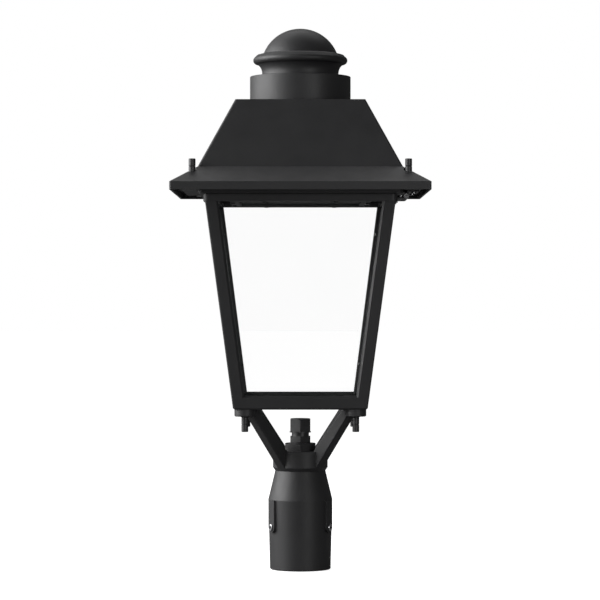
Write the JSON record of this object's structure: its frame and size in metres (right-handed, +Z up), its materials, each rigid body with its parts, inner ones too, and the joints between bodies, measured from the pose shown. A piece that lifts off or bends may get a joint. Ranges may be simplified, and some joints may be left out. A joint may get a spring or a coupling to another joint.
{
  "type": "post top lantern",
  "caption": "Square tapered post top lantern with clear panes, a hinged pyramid roof and a domed chimney, on a bracket of bent arms whose sleeve is clamped on a post.",
  "frame": {"origin": "centre of the sleeve's mouth, at the lowest point of the lantern", "axes": "+Z up along the post, -Y to the front, +X to the side with the hinge"},
  "size_m": [0.3754, 0.3754, 0.8095],
  "materials": {
    "powder_black": "fine-textured satin black powder coat on cast aluminium",
    "black_steel": "black zinc-flake coated steel",
    "hinge_steel": "dark satin coated steel",
    "stainless": "bright turned stainless steel",
    "zinc_steel": "bright zinc plated steel",
    "bare_aluminium": "mill finish aluminium",
    "clear_glass": "clear toughened glass",
    "cover_glass": "clear toughened glass",
    "lens_acrylic": "clear moulded lens plate",
    "board_white": "white solder mask on a metal-cored board",
    "gland_nylon": "black moulded nylon",
    "gear_plastic": "grey moulded plastic",
    "rubber_black": "black rubber"
  },
  "bodies": {
    "lantern": {"post_sleeve": "powder_black", "arm_spider": "powder_black", "hollow_nipple": "zinc_steel", "lower_washer": "zinc_steel", "lower_locknut": "zinc_steel", "hub_nut": "black_steel", "gland_o_ring": "rubber_black", "gland_body": "gland_nylon", "gland_seal": "rubber_black", "arm_studs": "zinc_steel", "arm_washers": "black_steel", "arm_sleeve_nuts": "black_steel", "arm_cap_nuts": "black_steel", "lantern_frame": "powder_black", "pane_gaskets": "rubber_black", "glazing_bars": "powder_black", "glazing_screws": "black_steel", "glass_front": "clear_glass", "glass_right": "clear_glass", "glass_rear": "clear_glass", "glass_left": "clear_glass", "hinge_frame_leaf": "hinge_steel", "hinge_frame_screws": "stainless", "hinge_pin": "stainless"},
    "gland_nut": {"gland_dome_nut": "gland_nylon"},
    "set_screw_left": {"set_screw_left": "stainless"},
    "set_screw_right": {"set_screw_right": "stainless"},
    "set_screw_rear": {"set_screw_rear": "stainless"},
    "roof": {"roof_tray": "powder_black", "roof_gasket": "rubber_black", "roof_shell": "powder_black", "roof_studs": "zinc_steel", "roof_sleeve_nuts": "black_steel", "roof_cap_nuts": "black_steel", "chimney_collar": "powder_black", "chimney_cap": "powder_black", "cap_dome": "powder_black", "cap_stud": "zinc_steel", "cap_washer": "zinc_steel", "cap_nut": "zinc_steel", "heat_sink": "bare_aluminium", "heat_sink_screws": "zinc_steel", "led_board": "board_white", "led_lenses": "lens_acrylic", "cover_glass": "cover_glass", "cover_glass_seal": "rubber_black", "optic_bezel": "powder_black", "bezel_screws": "black_steel", "led_driver": "bare_aluminium", "driver_screws": "zinc_steel", "surge_protector": "gear_plastic", "terminal_block": "gear_plastic", "tray_grommet": "rubber_black", "snap_catches": "stainless", "catch_rivets": "stainless", "hinge_roof_leaf": "hinge_steel", "hinge_roof_screws": "stainless"}
  },
  "joints": [
    {"name": "roof_hinge", "type": "hinge", "parent": "lantern", "child": "roof", "pos_m": [0.15702, 0, 0.557], "axis": [0, 1, 0], "range_deg": [0, 105]},
    {"name": "gland_nut_turn", "type": "hinge", "parent": "lantern", "child": "gland_nut", "pos_m": [0, 0, 0.2145], "axis": [0, 0, 1], "continuous": true},
    {"name": "set_screw_left_slide", "type": "slide", "parent": "lantern", "child": "set_screw_left", "axis": [0.866, 0.5, 0], "range_m": [-0.004, 0.01]},
    {"name": "set_screw_right_slide", "type": "slide", "parent": "lantern", "child": "set_screw_right", "axis": [-0.866, 0.5, 0], "range_m": [-0.004, 0.01]},
    {"name": "set_screw_rear_slide", "type": "slide", "parent": "lantern", "child": "set_screw_rear", "axis": [0, -1, 0], "range_m": [-0.004, 0.01]}
  ]
}
